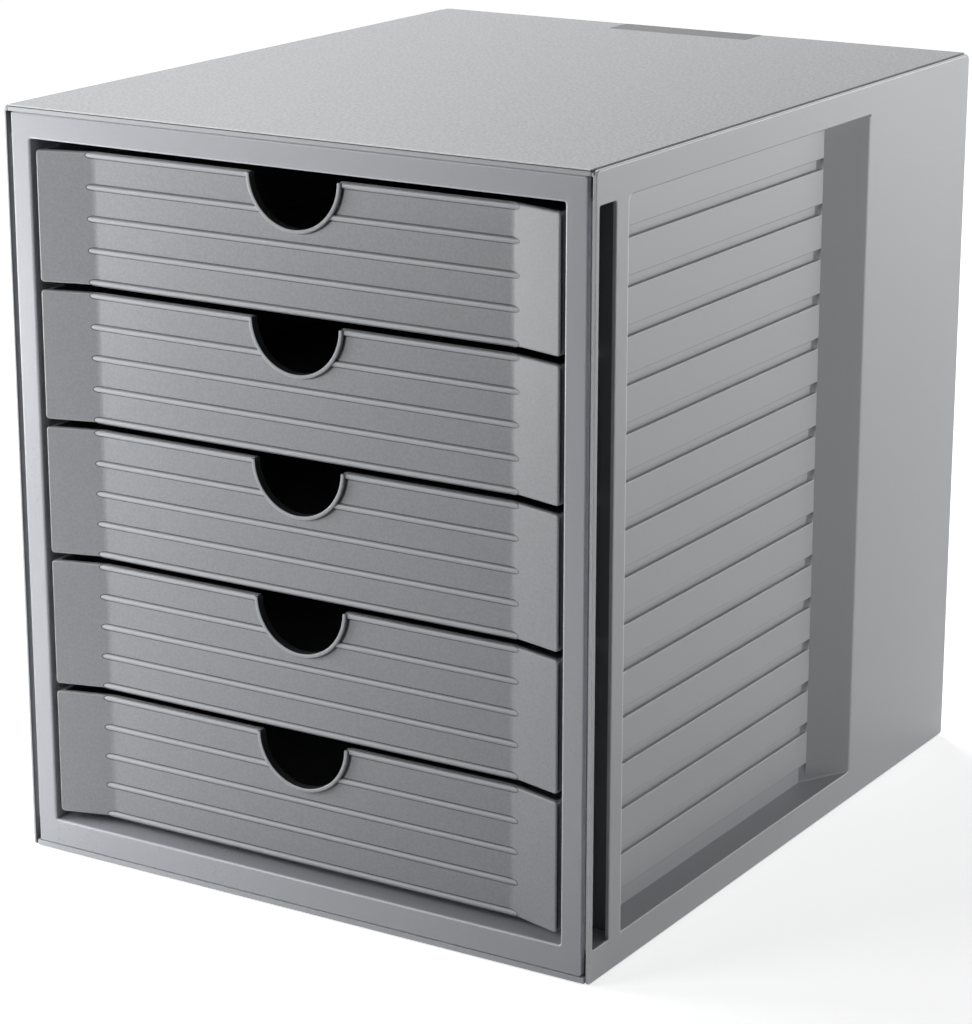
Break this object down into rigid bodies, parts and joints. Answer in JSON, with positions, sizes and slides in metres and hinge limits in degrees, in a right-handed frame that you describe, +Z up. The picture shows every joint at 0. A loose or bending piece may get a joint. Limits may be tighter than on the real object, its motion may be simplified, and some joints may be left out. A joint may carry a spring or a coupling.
{
  "type": "desktop drawer box",
  "caption": "Closed desktop box for papers: sliding letter trays with sloped, ribbed fronts and half-round grips in a grey plastic housing with slotted, boarded sides.",
  "frame": {"origin": "on the desk surface, under the middle of the box", "axes": "+X to the right side seen from the front, -Y out of the front, +Z up"},
  "size_m": [0.275, 0.33, 0.32],
  "materials": {
    "housing_plastic": "light grey polystyrene, fine grain on the top, satin sides",
    "frame_plastic": "light grey polystyrene, satin",
    "drawer_plastic": "mid grey polystyrene, fine grain",
    "label_plastic": "dark grey, bare",
    "foot_rubber": "black rubber"
  },
  "bodies": {
    "housing": {"top_panel": "housing_plastic", "bottom_panel": "housing_plastic", "left_side_panel": "housing_plastic", "right_side_panel": "housing_plastic", "back_panel": "housing_plastic", "front_frame": "frame_plastic", "label_plate": "label_plastic", "foot_front_left": "foot_rubber", "foot_front_right": "foot_rubber", "foot_rear_left": "foot_rubber", "foot_rear_right": "foot_rubber"},
    "drawer_1": {"drawer_1": "drawer_plastic"},
    "drawer_2": {"drawer_2": "drawer_plastic"},
    "drawer_3": {"drawer_3": "drawer_plastic"},
    "drawer_4": {"drawer_4": "drawer_plastic"},
    "drawer_5": {"drawer_5": "drawer_plastic"}
  },
  "joints": [
    {"name": "drawer_1_slide", "type": "slide", "parent": "housing", "child": "drawer_1", "axis": [0, -1, 0], "range_m": [0, 0.2565]},
    {"name": "drawer_2_slide", "type": "slide", "parent": "housing", "child": "drawer_2", "axis": [0, -1, 0], "range_m": [0, 0.2565]},
    {"name": "drawer_3_slide", "type": "slide", "parent": "housing", "child": "drawer_3", "axis": [0, -1, 0], "range_m": [0, 0.2565]},
    {"name": "drawer_4_slide", "type": "slide", "parent": "housing", "child": "drawer_4", "axis": [0, -1, 0], "range_m": [0, 0.2565]},
    {"name": "drawer_5_slide", "type": "slide", "parent": "housing", "child": "drawer_5", "axis": [0, -1, 0], "range_m": [0, 0.2565]}
  ]
}
